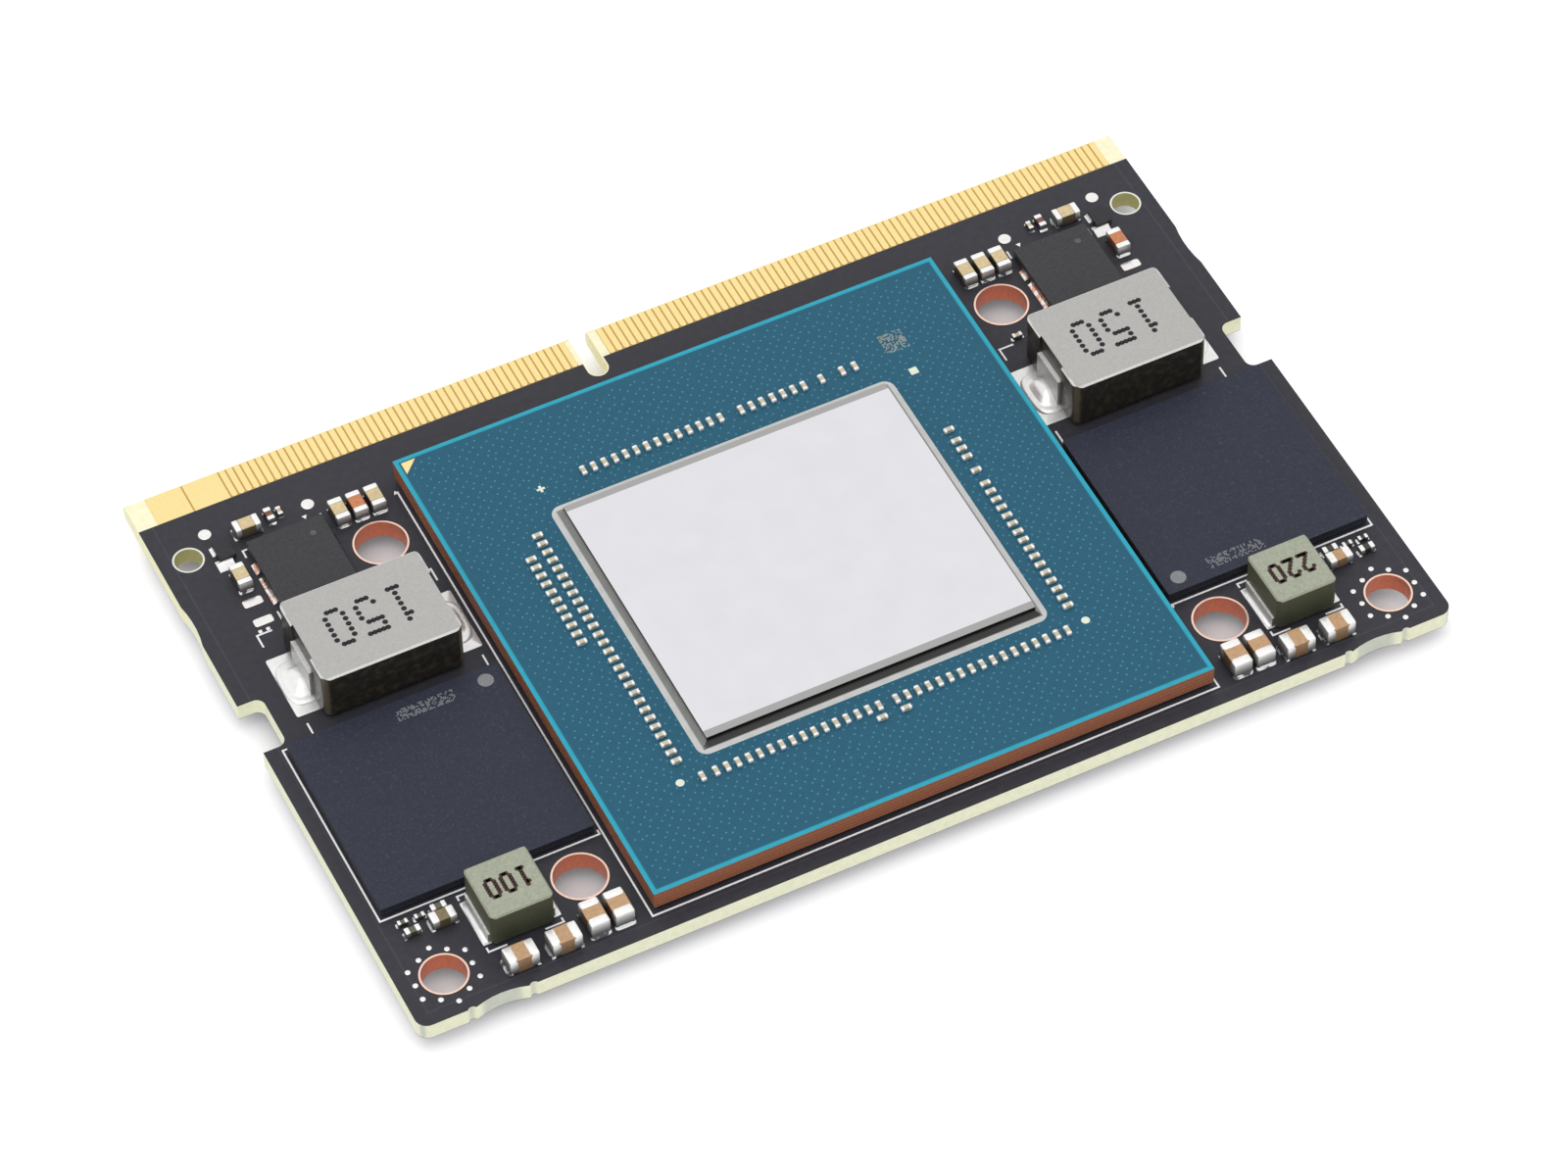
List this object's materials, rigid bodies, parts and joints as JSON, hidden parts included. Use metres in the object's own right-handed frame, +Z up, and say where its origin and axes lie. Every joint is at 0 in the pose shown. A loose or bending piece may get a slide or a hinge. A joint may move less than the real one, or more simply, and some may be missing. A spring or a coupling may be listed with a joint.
{
  "type": "system on module",
  "caption": "Card-edge computer module: a dark circuit board with gold fingers, a large bare-die processor carrier, memory packages, power inductors and rows of chip capacitors.",
  "frame": {"origin": "centre of the board in plan, on the surface that the underside's bulk capacitors rest on", "axes": "+X along the contact edge to the right when the contacts are at the back, +Y towards the contact edge, +Z up from the processor side"},
  "size_m": [0.0696, 0.045, 0.0063],
  "materials": {
    "laminate": "matte glass-fibre laminate",
    "board_mask": "satin charcoal solder mask",
    "gold": "gold plating",
    "copper": "plated copper",
    "solder": "glossy solder",
    "print": "printed white ink",
    "carrier_laminate": "cut edge of the carrier",
    "carrier_mask": "satin teal solder mask",
    "silicon": "polished silicon",
    "underfill": "glossy epoxy",
    "carrier_capacitor": "fired ceramic",
    "tin": "tin plating",
    "memory_mould": "fine matte mould compound",
    "mould": "matte mould compound",
    "large_core": "pressed iron powder",
    "small_core": "pressed iron powder",
    "beige_ceramic": "fired ceramic",
    "orange_ceramic": "fired ceramic",
    "brown_ceramic": "fired ceramic",
    "olive_ceramic": "fired ceramic",
    "dark_ceramic": "fired ceramic",
    "crystal_ceramic": "fired ceramic",
    "lid_steel": "nickel-plated lid"
  },
  "bodies": {
    "root": {"board": "laminate", "top_solder_mask": "board_mask", "bottom_solder_mask": "board_mask", "top_contacts": "gold", "bottom_contacts": "gold", "mounting_hole_barrels": "copper", "heatsink_hole_barrels": "copper", "ground_dots": "solder", "test_pads": "solder", "top_silkscreen": "print", "processor_substrate": "carrier_laminate", "processor_solder_mask": "carrier_mask", "processor_die": "silicon", "processor_underfill": "underfill", "processor_capacitor_bodies": "carrier_capacitor", "processor_capacitor_ends": "tin", "processor_fiducials": "print", "processor_pin_mark": "gold", "processor_solder_balls": "solder", "memory_left": "memory_mould", "memory_right": "memory_mould", "memory_solder_balls": "solder", "power_stage_left": "mould", "power_stage_right": "mould", "power_stage_leads": "solder", "large_inductor_left": "large_core", "large_inductor_right": "large_core", "large_inductor_straps": "tin", "large_inductor_solder": "solder", "small_inductor_left": "small_core", "small_inductor_right": "small_core", "small_inductor_straps": "tin", "small_inductor_solder": "solder", "beige_capacitors": "beige_ceramic", "orange_capacitors": "orange_ceramic", "output_capacitors": "brown_ceramic", "olive_capacitor": "olive_ceramic", "brown_capacitor": "brown_ceramic", "small_capacitors": "dark_ceramic", "tiny_capacitors": "beige_ceramic", "capacitor_ends": "tin", "capacitor_solder": "solder", "diodes": "mould", "diode_terminals": "solder", "bulk_capacitors": "mould", "bulk_capacitor_terminals": "tin", "bulk_capacitor_solder": "solder", "decoupling_capacitors": "carrier_capacitor", "decoupling_capacitor_ends": "tin", "decoupling_capacitor_solder": "solder", "power_controller": "mould", "boot_flash": "mould", "identity_memory": "mould", "power_monitors": "mould", "package_lands": "solder", "clock_crystal_base": "crystal_ceramic", "clock_crystal_lid": "lid_steel"}
  },
  "joints": []
}
